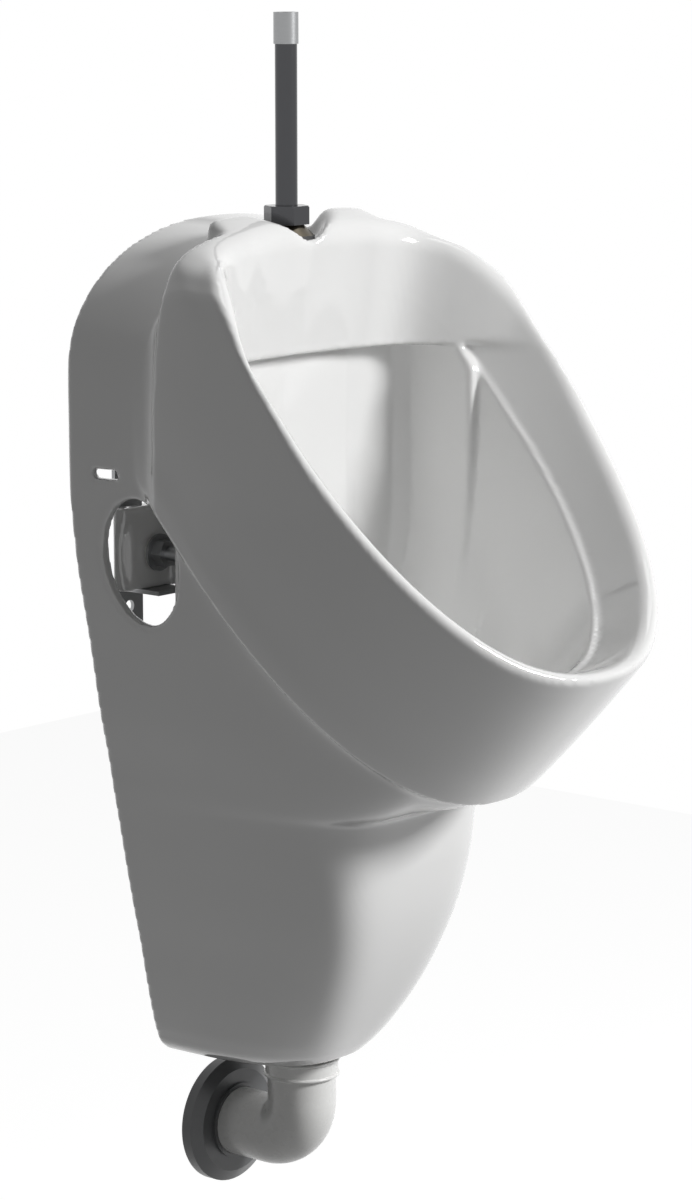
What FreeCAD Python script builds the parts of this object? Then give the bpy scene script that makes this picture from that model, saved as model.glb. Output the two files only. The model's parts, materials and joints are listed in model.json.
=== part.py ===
import FreeCAD, Part

import math
import os

# Wall hung urinal. Millimetres.
# The wall is the plane Y = 0 and the front of the urinal faces -Y. Z is up, X = 0 is the centreline.
# The origin lies on the wall, at the middle of the four wall screw holes.
# Below, "out" is a distance from the wall, "up" a height above the lower edge of the china.

# ---------------------------------------------------------------- china, outside
CHINA_HEIGHT = 581.0          # lower edge to the top of the housing at the wall
CHINA_WIDTH = 304.0           # housing, at its widest
CHINA_DEPTH = 338.0           # wall to the front of the lip
CHINA_WALL = 11.0             # general thickness of the fired body
FIXING_UP = 362.0             # wall fixings above the lower edge
HOUSING_DEPTH = 212.0         # housing sides, where they would meet in front
SKIRT_DEPTH = 184.0           # skirt, at its deepest
SIDE_TAPER = 0.12             # housing and skirt narrower in front by this share of the half width
SKIRT_FOOT_DEPTH = 100.0      # skirt, at its rounded lower edge
SKIRT_FOOT_HALF = 48.0        # half width there
LIP_WIDTH = 310.0             # bowl, at the lip
LIP_TOP_OUT = 88.0            # lip, from the wall, at its top
LIP_FRONT_UP = 301.0          # lip, at its front
LIP_WIDEST = 118.0            # along the lip, from its top to its widest place
LIP_EDGE = 8.0                # thickness of the lip's edge
BOWL_FOLD = 132.0             # folded lower edge of the bowl, below the lip
RIM_BACK_OUT = 60.0           # back of the rim where it stands above the housing
RIM_RISE = 9.0                # rim above the housing
RIM_BACK_HALF = 79.0          # half width of the raised back of the rim

# ---------------------------------------------------------------- china, inside
FASCIA_HEIGHT = 90.0          # inner face of the rim, from the lip's top to its lower edge
FASCIA_LEAN = 16.0            # the lower edge of that face is nearer the wall by this
NICHE_HALF = 114.0            # flat back of the bowl, half width
NICHE_BACK_OUT = 56.0         # flat back of the bowl, from the wall
NICHE_CORNER_OUT = 77.0       # where the back meets the side of the niche
NICHE_FRONT_OUT = 131.0       # upright crease in the side of the bowl
BAND_DEPTH = 38.0             # inner edge of the lip, below the lip
BAND_WIDTH = 22.0             # lip face, from the edge to the inner edge, at the sides
DRAIN_OUT = 134.0             # drain, from the wall
DRAIN_UP = 215.0              # drain seat above the lower edge
DRAIN_HOLE_R = 21.0           # hole in the china
DRAIN_SEAT_R = 33.0           # flat ring round the hole
FLOOR_THICKNESS = 14.0        # china under the drain seat
SIDE_HOLE_HALF_WIDTH = 29.0   # oval access hole in each side
SIDE_HOLE_HALF_HEIGHT = 43.0
SIDE_HOLE_OUT = 52.0          # its centre from the wall
SIDE_SLOT_LENGTH = 21.0       # small slot above it
SIDE_SLOT_WIDTH = 6.0
SIDE_SLOT_OUT = 30.0
SIDE_SLOT_RISE = 58.0         # above the wall fixings
SLOT_REACH = 30.0             # cut of the slot to each side of the widest side of the housing
FLUSH_HOLE_R = 3.0            # holes under the rim that wet the back
FLUSH_HOLE_PITCH = 22.0
FLUSH_HOLE_COUNT = 7
RIM_CHANNEL_INSET = 35.0      # water space of the rim, short of the sides of the niche
RIM_CHANNEL_WALL = 8.0        # china under it and in front of it

# ---------------------------------------------------------------- water inlet
INLET_OUT = 62.0              # flush pipe axis from the wall
INLET_SEAT_DROP = 14.0        # seat of the pipe below the top of the china
INLET_HOLE_R = 13.0
PIPE_R = 7.5
PIPE_WALL = 1.0
PIPE_RISE = 144.0             # pipe above its seat
PIPE_SEAT_RISE = 3.0          # lower end of the pipe above the seat of the fitting
FERRULE_LENGTH = 20.0
FERRULE_WALL = 0.9
RUBBER_WALL = 2.6             # rubber connector in the hole of the china
RUBBER_FLANGE_R = 19.0
RUBBER_FLANGE = 2.5
RUBBER_DEPTH = 18.0           # below the seat
SPUD_FLANGE_R = 18.5
SPUD_CONE_HEIGHT = 7.0
SPUD_NECK_R = 11.5
SPUD_NECK_HEIGHT = 7.0
SPUD_BORE_R = 6.0
OLIVE_R = 10.0
OLIVE_HEIGHT = 3.0
INLET_NUT_FLATS = 27.0
INLET_NUT_LID = 2.5

# ---------------------------------------------------------------- drain and trap
SEAL_THICKNESS = 2.5
FLANGE_LIP = 2.0              # waste flange over the china
FLANGE_R = 31.0
WASTE_BORE_R = 15.0
WASTE_WALL = 2.0
WASTE_LENGTH = 42.0           # from the top of the flange down
BACK_NUT_HEIGHT = 8.0
BACK_NUT_R = 29.0
STRAINER_R = 26.0
STRAINER_RISE = 6.0
STRAINER_SHEET = 1.5
STRAINER_SKIRT = 6.0          # short tube that keeps it in the drain
STRAINER_HOLE_R = 2.3
TRAP_R = 24.0                 # trap body, outside
TRAP_WALL = 2.5
TRAP_BODY_HEIGHT = 42.0
TRAP_CUP_HEIGHT = 29.0        # cup below the body
TRAP_THREAD = 9.0             # cup over the body
DIP_TUBE_R = 11.5
DIP_TUBE_WALL = 1.5
DIP_TUBE_RISE = 9.0           # its open end above the bottom of the cup
TRAP_NUT_HEIGHT = 13.0
TRAP_NUT_LID = 2.0
TRAP_ARM_R = 15.5             # arm of the trap, outside
TRAP_ARM_DROP = 1.5           # top of the arm below the top of the body
TRAP_BEND_R = 24.0            # arm of the trap, turning down
NECK_WALL = 3.0               # neck of the trap round the waste
NUT_SEAL = 3.0                # room for a seal under the lid of a union nut
RING_NUT_WALL = 3.5
RING_NUT_RIBS = 12
RIB_R = 1.2
CUP_COLLAR_WALL = 3.0
CUP_COLLAR_FOOT = 3.0         # collar below the end of the body
CUP_GRIP_HALF = 14.0          # bar under the cup to turn it by
CUP_GRIP_SHEET = 3.2
CUP_GRIP_HEIGHT = 5.0
OUTLET_OUT = 73.0             # outlet axis from the wall

# ---------------------------------------------------------------- outlet
TAIL_R = 20.0                 # tail pipe through the foot of the skirt
TAIL_WALL = 2.0
TAIL_SOCKET = 22.0            # socket for it at the end of the trap's arm
SOCKET_WALL = 3.5
SOCKET_SHOULDER = 3.0
TAIL_STOP = 2.0               # end of the tail pipe short of the bottom of its socket
FOOT_CLEARANCE = 1.0          # round the tail pipe, through the foot of the skirt
TAIL_NUT_HEIGHT = 13.0
TAIL_INSERT = 26.0            # tail pipe inside the elbow
ELBOW_R = 24.0                # plastic elbow, outside
ELBOW_WALL = 2.6
ELBOW_BEND_R = 27.0
COLLAR_R = 25.5               # socket of the elbow under the skirt
COLLAR_DROP = 2.0             # its top below the foot of the skirt
COLLAR_HEIGHT = 13.0
COLLAR_BEAD = 1.2             # rounded rings round the socket
COLLAR_WALL = 2.1
ARM_DROP = 61.0               # arm to the wall, below the lower edge of the china
ROSETTE_R = 45.0
ROSETTE_DEPTH = 13.0
ROSETTE_SLOPE = 5.0           # height of its sloped front
ROSETTE_SHEET = 1.6

# ---------------------------------------------------------------- wall fixings
STUD_X = 95.0                 # fixing bolts from the centreline
WALL_HOLE_PITCH = 80.0        # wall screw holes of one bracket, one above the other
WALL_HOLE_R = 4.25
BRACKET_WIDTH = 26.0
BRACKET_HEIGHT = 108.0
BRACKET_SHEET = 3.0
BRACKET_OUT = 16.0            # front of the bracket from the wall
BRACKET_BRIDGE = 54.0         # raised middle of the bracket
BRACKET_SHELF = 26.0          # shelf under the lug, from the bridge forwards
STUD_R = 5.0
STUD_LENGTH = 38.0            # in front of its head
BOLT_HEAD_FLATS = 17.0
BOLT_HEAD_HEIGHT = 6.4
BUSH_WALL = 2.5
BUSH_FLANGE_R = 11.5
BUSH_FLANGE = 2.0
LUG_THICKNESS = 12.0          # china lug between the bracket and the bush
LUG_RISE = 32.0               # lug above the fixings
LUG_REACH = 24.0              # lug past the bolt, towards the centreline
LUG_END = 27.0                # outer end of the lug from the widest side of the housing
WASHER_R = 12.5
WASHER_THICKNESS = 2.0
FIXING_NUT_HEIGHT = 8.0

# ---------------------------------------------------------------- fits
RUN = 0.05                    # running clearance on a radius
GAP = 0.3                     # plain clearance between faces that move

# ---------------------------------------------------------------- worked out from the above
HALF = CHINA_WIDTH / 2
LIP_HALF = LIP_WIDTH / 2
LIP_TOP_UP = CHINA_HEIGHT - 1.0
LIP_RUN = CHINA_DEPTH - LIP_TOP_OUT
LIP_DROP = LIP_TOP_UP - LIP_FRONT_UP
LIP_LENGTH = math.hypot(LIP_RUN, LIP_DROP)
LIP_COS = LIP_RUN / LIP_LENGTH
LIP_SIN = LIP_DROP / LIP_LENGTH
FASCIA_UP = LIP_TOP_UP - FASCIA_HEIGHT
FASCIA_OUT = LIP_TOP_OUT - FASCIA_LEAN
INLET_SEAT_UP = CHINA_HEIGHT - INLET_SEAT_DROP
LUG_DROP = BRACKET_BRIDGE / 2 - BRACKET_SHEET
WASTE_R = WASTE_BORE_R + WASTE_WALL
FLANGE_UP = DRAIN_UP + SEAL_THICKNESS
WASTE_END_UP = FLANGE_UP + FLANGE_LIP - WASTE_LENGTH
BACK_NUT_UP = DRAIN_UP - FLOOR_THICKNESS - SEAL_THICKNESS - BACK_NUT_HEIGHT
TRAP_TOP_UP = WASTE_END_UP - GAP
TRAP_BODY_UP = TRAP_TOP_UP - TRAP_BODY_HEIGHT
TRAP_CUP_UP = TRAP_BODY_UP - TRAP_CUP_HEIGHT
TRAP_ARM_UP = TRAP_TOP_UP - TRAP_ARM_DROP - TRAP_ARM_R
NECK_HEIGHT = TRAP_NUT_HEIGHT - TRAP_NUT_LID - NUT_SEAL
NECK_R = WASTE_R + NECK_WALL
SOCKET_R = TAIL_R + SOCKET_WALL
SOCKET_UP = TRAP_ARM_UP - TRAP_BEND_R - TAIL_SOCKET
COLLAR_UP = -COLLAR_DROP - COLLAR_HEIGHT
TAIL_END_UP = -COLLAR_DROP - TAIL_INSERT
FAR = 450.0                   # reach of a cutting solid past the china
THROUGH = 80.0                # length of a hole's cutting solid, longer than what it goes through


def at(x, out, up):
    """The point at x, out from the wall, up from the lower edge of the china."""
    return FreeCAD.Vector(x, -out, up - FIXING_UP)


def lip_at(x, along, below):
    """The point at x, along the lip's slope from its top, and below the lip."""
    return at(x, LIP_TOP_OUT + along * LIP_COS - below * LIP_SIN,
              LIP_TOP_UP - along * LIP_SIN - below * LIP_COS)


def power(value, exponent):
    return math.copysign(abs(value) ** exponent, value)


def spline(points, closed=False):
    curve = Part.BSplineCurve()
    curve.interpolate(points, PeriodicFlag=closed)
    return curve.toShape()


def polygon(points):
    return Part.makePolygon(points + [points[0]])


def loft(wires, ruled=False):
    return Part.makeLoft(wires, True, ruled)


def joined(shapes):
    result = shapes[0]
    for shape in shapes[1:]:
        result = result.fuse(shape)
    return result.removeSplitter()


def mirrored(shape):
    return shape.mirror(FreeCAD.Vector(0, 0, 0), FreeCAD.Vector(1, 0, 0))


def rod(radius, length, x, out, up, direction=(0, 0, 1)):
    return Part.makeCylinder(radius, length, at(x, out, up), FreeCAD.Vector(*direction))


def tube(radius, bore, length, x, out, up, direction=(0, 0, 1)):
    return rod(radius, length, x, out, up, direction).cut(rod(bore, length, x, out, up, direction))


def hexagon(flats, height, x, out, up, outward=False):
    """Six-sided prism, upright or pointing out from the wall."""
    reach = flats / math.sqrt(3)
    corners = []
    for turn in range(6):
        angle = math.radians(60 * turn)
        across, along = reach * math.cos(angle), reach * math.sin(angle)
        corners.append(at(x + across, out, up + along) if outward else at(x + across, out + along, up))
    face = Part.Face(polygon(corners))
    return face.extrude(FreeCAD.Vector(0, -height, 0) if outward else FreeCAD.Vector(0, 0, height))


def box(x0, x1, out0, out1, up0, up1):
    return Part.makeBox(x1 - x0, out1 - out0, up1 - up0, at(x0, out1, up0))


# ================================================================ china body
def housing_section(up, half, depth, exponent, taper, steps=8):
    """Level outline of the housing or skirt: straight at the wall, narrower and rounded in front."""
    points = []
    for step in range(2 * steps + 1):
        turn = math.pi * step / (2 * steps)
        deep = abs(math.sin(turn)) ** (2 / exponent)
        points.append(at(half * (1 - taper * deep) * power(math.cos(turn), 2 / exponent), depth * deep, up))
    return Part.Wire([spline(points), Part.LineSegment(points[-1], points[0]).toShape()])


def housing_stations(inset=0.0):
    """Level outlines from the foot up: share of the height, inset of the sides, depth, squareness, taper."""
    foot = HALF - SKIRT_FOOT_HALF
    rows = [(0.000, foot, SKIRT_FOOT_DEPTH, 2.6, 0),
            (0.005, foot - 8, SKIRT_FOOT_DEPTH + 8, 2.7, 0.02),
            (0.014, foot - 15, SKIRT_FOOT_DEPTH + 15, 2.9, 0.04),
            (0.030, foot - 20, SKIRT_DEPTH - 60, 3.3, 0.06),
            (0.058, foot - 25, SKIRT_DEPTH - 47, 3.7, 0.08),
            (0.095, foot - 29, SKIRT_DEPTH - 33, 4.1, 0.10),
            (0.145, 69, SKIRT_DEPTH - 19, 4.5, 0.11),
            (0.195, 64, SKIRT_DEPTH - 9, 4.7, SIDE_TAPER),
            (0.258, 58, SKIRT_DEPTH - 3, 4.8, SIDE_TAPER),
            (0.312, 53, SKIRT_DEPTH, 4.6, SIDE_TAPER),
            (0.368, 47, SKIRT_DEPTH + 38, 4.0, SIDE_TAPER),
            (0.427, 40, SKIRT_DEPTH + 66, 3.5, SIDE_TAPER),
            (0.520, 30, HOUSING_DEPTH + 44, 3.3, SIDE_TAPER),
            (0.630, 17, HOUSING_DEPTH + 10, 3.0, SIDE_TAPER),
            (0.715, 8, HOUSING_DEPTH, 3.0, SIDE_TAPER),
            (0.800, 1, HOUSING_DEPTH, 3.0, SIDE_TAPER),
            (0.900, -8, HOUSING_DEPTH, 3.0, 0.08),
            (1.100, -22, HOUSING_DEPTH, 3.0, 0.04)]
    return [housing_section(CHINA_HEIGHT * share, HALF - side - inset, depth - inset, squareness, taper)
            for share, side, depth, squareness, taper in rows]


def crown_outline(out, curve):
    """Upright outline parallel to the wall, rounded at the top. The curve runs from one side to the middle."""
    arc = [at(x, out, up) for x, up in curve] + [at(-x, out, up) for x, up in reversed(curve[:-1])]
    side = curve[0][0]
    corners = [arc[-1], at(-side, out, -FAR), at(side, out, -FAR), arc[0]]
    lines = [Part.LineSegment(a, b).toShape() for a, b in zip(corners[:-1], corners[1:])]
    return Part.Wire([spline(arc)] + lines)


def housing_crown(out, drop, pinch):
    """Rounded top of the housing, lower and narrower away from the wall."""
    top = CHINA_HEIGHT - drop
    side = HALF - pinch
    return crown_outline(out, [(side + 2, top - 113), (side - 3, top - 81), (side - 19, top - 49),
                               (side - 44, top - 25), (side - 84, top - 8), (0, top)])


def rim_back_crown():
    """Back of the rim: a raised block with steep ends, then the crease down each side."""
    top = CHINA_HEIGHT + RIM_RISE
    half = RIM_BACK_HALF
    return crown_outline(RIM_BACK_OUT, [(HALF - 6, top - 170), (HALF - 10, top - 128), (HALF - 15, top - 104),
                                        (HALF - 27, top - 84), (half + 22, top - 66), (half + 7, top - 48),
                                        (half + 3, top - 30), (half, top - 12), (half - 8, top - 2),
                                        (half - 28, top), (0, top)])


def rim_front_crown(out, drop):
    """Top of the rim where the bowl has its full width."""
    top = CHINA_HEIGHT + RIM_RISE - drop
    return crown_outline(out, [(LIP_HALF + 4, top - 160), (LIP_HALF + 2, top - 112), (LIP_HALF - 1, top - 84),
                               (LIP_HALF - 7, top - 59), (LIP_HALF - 21, top - 33), (LIP_HALF - 41, top - 17),
                               (LIP_HALF - 70, top - 7), (LIP_HALF - 96, top - 2), (0, top)])


def egg(below, half, start, widest, end, top_exponent=2.8, low_exponent=2.27, steps=10):
    """Egg outline parallel to the lip: half width, and where it starts, is widest and ends along it."""
    points = []
    for step in range(4 * steps):
        turn = math.pi * step / (2 * steps)
        exponent = low_exponent if math.sin(turn) >= 0 else top_exponent
        reach = end - widest if math.sin(turn) >= 0 else widest - start
        points.append(lip_at(half * power(math.cos(turn), 2 / exponent),
                             widest + reach * power(math.sin(turn), 2 / exponent), below))
    return Part.Wire([spline(points, closed=True)])


def bowl_outside():
    """Side of the bowl down to its folded lower edge, and the cove below that edge."""
    # depth below the lip, inset of the sides, start, widest, inset of the front
    side = [(-45, 0, 0, 0, 0), (0, 0, 0, 0, 0), (20, 0, -34, 4, -2), (60, 1, -36, 14, -6), (100, 4, -31, 22, -9),
            (BOWL_FOLD, 10, -22, 33, -8)]
    cove = [(BOWL_FOLD, 10, -22, 33, -8), (BOWL_FOLD + 10, 28, -16, 39, -1), (BOWL_FOLD + 24, 44, -9, 49, 3),
            (BOWL_FOLD + 46, 66, -1, 65, 15), (BOWL_FOLD + 73, 92, 20, 90, 38)]
    return joined([loft([egg(below, LIP_HALF - inset, start, LIP_WIDEST + wide, LIP_LENGTH - front)
                         for below, inset, start, wide, front in rows]) for rows in (side, cove)])


def above_lip():
    """Everything above the lip: a gently curved slope, flatter at its front."""
    rise = 3.0
    profile = [lip_at(0, -30, -rise), lip_at(0, 0, 0), lip_at(0, 0.5 * LIP_LENGTH, rise),
               lip_at(0, 0.88 * LIP_LENGTH, 4 * rise / 3), lip_at(0, LIP_LENGTH, 0),
               lip_at(0, LIP_LENGTH + 30, -4 * rise)]
    edge = spline([point + FreeCAD.Vector(-FAR / 2, 0, 0) for point in profile])
    ends = [vertex.Point for vertex in edge.Vertexes]
    top = at(-FAR / 2, LIP_TOP_OUT - 40, CHINA_HEIGHT + FAR)
    far = at(-FAR / 2, CHINA_DEPTH + FAR, CHINA_HEIGHT + FAR)
    low = at(-FAR / 2, CHINA_DEPTH + FAR, LIP_FRONT_UP)
    path = [ends[1], low, far, top, ends[0]]
    sides = [Part.LineSegment(a, b).toShape() for a, b in zip(path[:-1], path[1:])]
    return Part.Face(Part.Wire([edge] + sides)).extrude(FreeCAD.Vector(FAR, 0, 0))


def fascia_block():
    """What lies behind the inner face of the rim, above its lower edge."""
    def outline(up, out, corner_x, bow):
        curve = [(0, out), (60, out + 0.25 * bow), (corner_x - 20, out + bow), (corner_x, out + 2 * bow + 4),
                 (corner_x + 20, out + 3 * bow + 6), (corner_x + 40, out + 4 * bow + 8)]
        points = [at(-x, y, up) for x, y in reversed(curve[1:])] + [at(x, y, up) for x, y in curve]
        back = [at(FAR, curve[-1][1], up), at(FAR, -FAR, up), at(-FAR, -FAR, up), at(-FAR, curve[-1][1], up)]
        path = [points[-1]] + back + [points[0]]
        sides = [Part.LineSegment(a, b).toShape() for a, b in zip(path[:-1], path[1:])]
        return Part.Wire([spline(points)] + sides)
    lower = outline(FASCIA_UP, FASCIA_OUT, NICHE_HALF + 5, 24)
    upper = outline(LIP_TOP_UP, LIP_TOP_OUT, NICHE_HALF + 17, 16)
    shift = FreeCAD.Vector(0, -FASCIA_LEAN * 0.4, 0.4 * FASCIA_HEIGHT)
    return loft([lower, upper, upper.translated(shift)], ruled=True)


def niche_row(up, half, near, corner):
    """Level outline of the niche: hollow back, rounded corners, straight sides."""
    curve = [(0, near), (0.55 * half, near + 0.26 * (corner - near)), (0.88 * half, near + 0.76 * (corner - near)),
             (0.985 * half, corner + 3), (half, corner + 13)]
    points = [at(-x, y, up) for x, y in reversed(curve[1:])] + [at(x, y, up) for x, y in curve]
    front = NICHE_FRONT_OUT + 20
    path = [points[-1], at(half, front, up), at(-half, front, up), points[0]]
    sides = [Part.LineSegment(a, b).toShape() for a, b in zip(path[:-1], path[1:])]
    return Part.Wire([spline(points)] + sides)


def niche_rows():
    """Rows from the edge of the rim down to the drain: height, half width, back, corner."""
    half, back, corner = NICHE_HALF, NICHE_BACK_OUT, NICHE_CORNER_OUT
    return [(FASCIA_UP, half, back, corner), (DRAIN_UP + 155, half - 2, back, corner),
            (DRAIN_UP + 109, half - 11, back, corner - 1), (DRAIN_UP + 69, half - 24, back + 2, corner - 1),
            (DRAIN_UP + 41, half - 38, back + 10, corner + 3), (DRAIN_UP + 21, half - 54, back + 24, corner + 12),
            (DRAIN_UP + 9, half - 70, back + 40, corner + 24), (DRAIN_UP + 2, half - 84, back + 56, corner + 38)]


def niche():
    """Upright recess at the back of the bowl, with the flat back."""
    return loft([niche_row(*row) for row in niche_rows()], ruled=True)


def bowl_inside():
    """Lip face, fascia, niche and the rounded bowl down to the drain seat."""
    inner = LIP_HALF - LIP_EDGE - BAND_WIDTH
    face = loft([egg(-40, LIP_HALF - LIP_EDGE + 23, -20, LIP_WIDEST - 4, LIP_LENGTH + 4),
                 egg(0, LIP_HALF - LIP_EDGE, 0, LIP_WIDEST, LIP_LENGTH - LIP_EDGE),
                 egg(BAND_DEPTH, inner, 10, LIP_WIDEST + 14, LIP_LENGTH - 25)], ruled=True)
    # depth below the lip, inset of the sides, start, widest, inset of the front
    rows = [(BAND_DEPTH, 3, 4, 14, 28), (90, 8, 20, 30, 24), (BOWL_FOLD - 7, 15, 42, 52, 24),
            (BOWL_FOLD + 13, 26, 52, 66, 28), (BOWL_FOLD + 33, 41, 62, 80, 38), (BOWL_FOLD + 58, 61, 72, 97, 56),
            (BOWL_FOLD + 72, 76, 90, 108, 74)]
    deep = loft([egg(below, inner - side, start, LIP_WIDEST + wide, LIP_LENGTH - front, low_exponent=2.2)
                 for below, side, start, wide, front in rows])
    deep = deep.cut(box(-FAR, FAR, -FAR, NICHE_FRONT_OUT, -FAR, FASCIA_UP))
    seat = rod(DRAIN_SEAT_R, 30, 0, DRAIN_OUT, DRAIN_UP)
    return face.fuse([deep, niche(), seat]).cut(fascia_block())


def rear_hollow():
    """Open back of the housing, and the hollow of the skirt below the bowl."""
    outline = loft(housing_stations(CHINA_WALL))
    foot = box(-FAR, FAR, -FAR, FAR, -FAR, DRAIN_UP - FLOOR_THICKNESS)
    near = NICHE_BACK_OUT - CHINA_WALL
    cheek = NICHE_CORNER_OUT - CHINA_WALL
    middle, edge = 0.5 * NICHE_HALF, NICHE_HALF + 2
    plan = [(-FAR, -FAR), (-FAR, cheek), (-edge, cheek), (-middle, near), (middle, near), (edge, cheek),
            (FAR, cheek), (FAR, -FAR)]
    low = Part.Face(polygon([at(x, out, DRAIN_UP - FLOOR_THICKNESS) for x, out in plan]))
    behind = low.extrude(FreeCAD.Vector(0, 0, FASCIA_UP - DRAIN_UP))
    return outline.common(foot.fuse(behind))


def lug(side):
    """Web inside the housing that the fixing bolt clamps against the bracket."""
    low, high = FIXING_UP - LUG_DROP, FIXING_UP + LUG_RISE
    inner = STUD_X - LUG_REACH
    web = box(inner, HALF - LUG_END, BRACKET_OUT, BRACKET_OUT + LUG_THICKNESS, low, high)
    post = box(inner, inner + CHINA_WALL, BRACKET_OUT, NICHE_BACK_OUT + 6, low, high)
    hole = rod(STUD_R + BUSH_WALL, THROUGH, STUD_X, 0, FIXING_UP, (0, -1, 0))
    shape = web.fuse(post).cut(hole)
    return shape if side > 0 else mirrored(shape)


def side_access():
    """Oval hole and small slot through one side of the housing."""
    oval = Part.Ellipse(FreeCAD.Vector(0, 0, 0), SIDE_HOLE_HALF_HEIGHT, SIDE_HOLE_HALF_WIDTH).toShape()
    face = Part.Face(Part.Wire([oval]))
    face.rotate(FreeCAD.Vector(0, 0, 0), FreeCAD.Vector(0, 1, 0), -90)
    face.translate(at(NICHE_HALF + 6, SIDE_HOLE_OUT, FIXING_UP))
    hole = face.extrude(FreeCAD.Vector(THROUGH, 0, 0))
    radius = SIDE_SLOT_WIDTH / 2
    straight = SIDE_SLOT_LENGTH - SIDE_SLOT_WIDTH
    up = FIXING_UP + SIDE_SLOT_RISE
    slot = box(HALF - SLOT_REACH, HALF + SLOT_REACH, SIDE_SLOT_OUT - straight / 2, SIDE_SLOT_OUT + straight / 2,
               up - radius, up + radius)
    ends = [rod(radius, 2 * SLOT_REACH, HALF - SLOT_REACH, SIDE_SLOT_OUT + sign * straight / 2, up, (1, 0, 0)) for sign in (-1, 1)]
    return hole.fuse([slot] + ends)


def inlet_recess():
    """Scooped seat in the top for the flush pipe, and the hole through it."""
    def dish(up, half, near, far):
        middle, reach = (near + far) / 2, (far - near) / 2
        points = [at(half * math.cos(math.radians(a)), middle + reach * math.sin(math.radians(a)), up)
                  for a in range(0, 360, 20)]
        return Part.Wire([spline(points, closed=True)])
    seat_r = RUBBER_FLANGE_R + 2
    scoop = loft([dish(INLET_SEAT_UP, seat_r, INLET_OUT - seat_r, INLET_OUT + seat_r),
                  dish(INLET_SEAT_UP + 14, seat_r + 18, INLET_OUT - seat_r - 4, INLET_OUT + seat_r + 24),
                  dish(INLET_SEAT_UP + 40, seat_r + 60, INLET_OUT - seat_r - 10, INLET_OUT + seat_r + 70)])
    return scoop.fuse(rod(INLET_HOLE_R, THROUGH, 0, INLET_OUT, INLET_SEAT_UP - THROUGH / 2))


def rim_channel():
    """Water space inside the rim, and the holes under it that wet the back of the bowl."""
    near = NICHE_BACK_OUT - CHINA_WALL
    half = NICHE_HALF - RIM_CHANNEL_INSET
    floor = FASCIA_UP + RIM_CHANNEL_WALL
    front = FASCIA_OUT - RIM_CHANNEL_WALL
    roof = INLET_SEAT_UP - CHINA_WALL
    lower = polygon([at(-half, near, floor), at(half, near, floor), at(half, front, floor), at(-half, front, floor)])
    lean = FASCIA_LEAN * (roof - floor) / FASCIA_HEIGHT
    upper = polygon([at(-half, near, roof), at(half, near, roof), at(half, front + lean, roof),
                     at(-half, front + lean, roof)])
    holes = []
    for count in range(FLUSH_HOLE_COUNT):
        x = (count - (FLUSH_HOLE_COUNT - 1) / 2) * FLUSH_HOLE_PITCH
        holes.append(rod(FLUSH_HOLE_R, 2 * RIM_CHANNEL_WALL, x, NICHE_BACK_OUT + FLUSH_HOLE_R + 2,
                         FASCIA_UP - RIM_CHANNEL_WALL / 2))
    return loft([lower, upper], ruled=True).fuse(holes)


def china_body():
    rear = loft(housing_stations()).common(loft([housing_crown(-1, 0, 0), housing_crown(RIM_BACK_OUT, 8, 1),
                                                 housing_crown(FAR, 60, 8)], ruled=True))
    rim = bowl_outside().common(loft([rim_back_crown(), rim_front_crown(LIP_TOP_OUT - 4, 3),
                                      rim_front_crown(FAR, 3)], ruled=True))
    body = rear.fuse(rim).cut(above_lip())
    body = body.cut(bowl_inside())
    body = body.cut(rear_hollow())
    body = body.fuse([lug(1), lug(-1)])
    access = side_access()
    waste = rod(DRAIN_HOLE_R, THROUGH, 0, DRAIN_OUT, DRAIN_UP - THROUGH / 2)
    tail = rod(TAIL_R + FOOT_CLEARANCE, THROUGH, 0, OUTLET_OUT, -THROUGH / 2)
    return body.cut([access, mirrored(access), inlet_recess(), rim_channel(), waste, tail])


# ================================================================ water inlet
def flush_pipe():
    return tube(PIPE_R, PIPE_R - PIPE_WALL, PIPE_RISE, 0, INLET_OUT, INLET_SEAT_UP + RUBBER_FLANGE + PIPE_SEAT_RISE)


def pipe_ferrule():
    top = INLET_SEAT_UP + RUBBER_FLANGE + PIPE_SEAT_RISE + PIPE_RISE
    sleeve = tube(PIPE_R + FERRULE_WALL, PIPE_R, FERRULE_LENGTH, 0, INLET_OUT, top - FERRULE_LENGTH)
    lip = tube(PIPE_R + FERRULE_WALL, PIPE_R - PIPE_WALL, FERRULE_WALL, 0, INLET_OUT, top)
    return joined([sleeve, lip])


def inlet_rubber():
    """Rubber connector pushed into the hole, with a flange on the seat."""
    bore = INLET_HOLE_R - RUBBER_WALL
    sleeve = tube(INLET_HOLE_R, bore, RUBBER_DEPTH, 0, INLET_OUT, INLET_SEAT_UP - RUBBER_DEPTH)
    flange = tube(RUBBER_FLANGE_R, bore, RUBBER_FLANGE, 0, INLET_OUT, INLET_SEAT_UP)
    return joined([sleeve, flange])


def inlet_spud():
    """Conical fitting: tail in the rubber, cone, and a neck that the pipe stands in."""
    low = INLET_SEAT_UP + RUBBER_FLANGE
    tail = rod(INLET_HOLE_R - RUBBER_WALL, RUBBER_DEPTH, 0, INLET_OUT, low - RUBBER_DEPTH)
    cone = Part.makeCone(SPUD_FLANGE_R, SPUD_NECK_R, SPUD_CONE_HEIGHT, at(0, INLET_OUT, low))
    neck = rod(SPUD_NECK_R, SPUD_NECK_HEIGHT, 0, INLET_OUT, low + SPUD_CONE_HEIGHT)
    bore = rod(SPUD_BORE_R, THROUGH, 0, INLET_OUT, low - THROUGH / 2)
    socket = rod(PIPE_R, THROUGH, 0, INLET_OUT, low + PIPE_SEAT_RISE)
    return joined([tail, cone, neck]).cut([bore, socket])


def inlet_olive():
    """Soft ring that the nut presses on the pipe."""
    up = INLET_SEAT_UP + RUBBER_FLANGE + SPUD_CONE_HEIGHT + SPUD_NECK_HEIGHT
    return tube(OLIVE_R, PIPE_R, OLIVE_HEIGHT, 0, INLET_OUT, up)


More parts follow.
